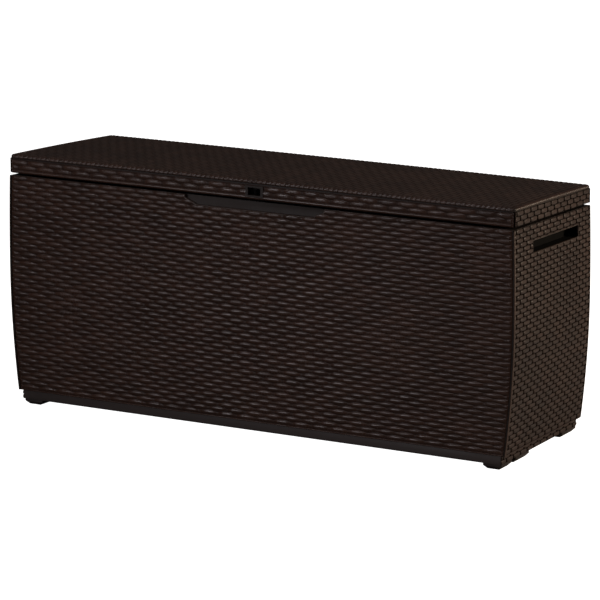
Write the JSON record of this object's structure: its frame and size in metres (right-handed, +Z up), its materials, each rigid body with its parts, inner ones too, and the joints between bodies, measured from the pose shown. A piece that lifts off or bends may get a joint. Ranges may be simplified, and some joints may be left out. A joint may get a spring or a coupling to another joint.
{
  "type": "deck storage box",
  "caption": "Outdoor storage box with woven-look resin walls, side handle slots, and a hinged lid held by slotted stays and closed over a padlock eye.",
  "frame": {"origin": "centre of the bounding box's underside, on the floor", "axes": "+Z up, the front faces -Y, +X runs along the length to the right seen from the front"},
  "size_m": [1.236, 0.535, 0.587],
  "materials": {
    "woven_resin": "satin, woven relief",
    "plain_resin": "satin",
    "dark_resin": "satin",
    "zinc_steel": "zinc plated"
  },
  "bodies": {
    "case": {"back_panel": "woven_resin", "base_panel": "plain_resin", "front_panel": "woven_resin", "handle_cup_left": "dark_resin", "handle_cup_right": "dark_resin", "hinge_case_leaf_1": "dark_resin", "hinge_case_leaf_2": "dark_resin", "hinge_case_leaf_3": "dark_resin", "hinge_case_screw_1_1": "zinc_steel", "hinge_case_screw_1_2": "zinc_steel", "hinge_case_screw_2_1": "zinc_steel", "hinge_case_screw_2_2": "zinc_steel", "hinge_case_screw_3_1": "zinc_steel", "hinge_case_screw_3_2": "zinc_steel", "hinge_pin_1": "zinc_steel", "hinge_pin_2": "zinc_steel", "hinge_pin_3": "zinc_steel", "lock_eye": "dark_resin", "lock_eye_screw_1": "zinc_steel", "lock_eye_screw_2": "zinc_steel", "side_panel_left": "woven_resin", "side_panel_right": "woven_resin", "stay_stud_cap_left": "dark_resin", "stay_stud_cap_right": "dark_resin", "stay_stud_left": "dark_resin", "stay_stud_right": "dark_resin"},
    "lid": {"hinge_lid_leaf_1": "dark_resin", "hinge_lid_leaf_2": "dark_resin", "hinge_lid_leaf_3": "dark_resin", "hinge_lid_screw_1_1": "zinc_steel", "hinge_lid_screw_1_2": "zinc_steel", "hinge_lid_screw_2_1": "zinc_steel", "hinge_lid_screw_2_2": "zinc_steel", "hinge_lid_screw_3_1": "zinc_steel", "hinge_lid_screw_3_2": "zinc_steel", "lid_liner": "plain_resin", "lid_shell": "woven_resin", "lock_pocket": "dark_resin", "stay_bracket_left": "dark_resin", "stay_bracket_right": "dark_resin", "stay_pin_left": "zinc_steel", "stay_pin_right": "zinc_steel"},
    "stay_left": {"stay_arm_left": "dark_resin"},
    "stay_right": {"stay_arm_right": "dark_resin"}
  },
  "joints": [
    {"name": "lid_hinge", "type": "hinge", "parent": "case", "child": "lid", "pos_m": [0, 0.261, 0.539], "axis": [-1, 0, 0], "range_deg": [0, 95]},
    {"name": "stay_pivot_left", "type": "hinge", "parent": "lid", "child": "stay_left", "pos_m": [-0.576, 0.11148, 0.55103], "axis": [1, 0, 0], "range_deg": [0, 47.5]},
    {"name": "stay_pivot_right", "type": "hinge", "parent": "lid", "child": "stay_right", "pos_m": [0.576, 0.11148, 0.55103], "axis": [1, 0, 0], "range_deg": [0, 47.5]}
  ],
  "couplings": [
    {"joint": "stay_pivot_left", "follows": "lid_hinge", "ratio": 0.5},
    {"joint": "stay_pivot_right", "follows": "lid_hinge", "ratio": 0.5}
  ]
}
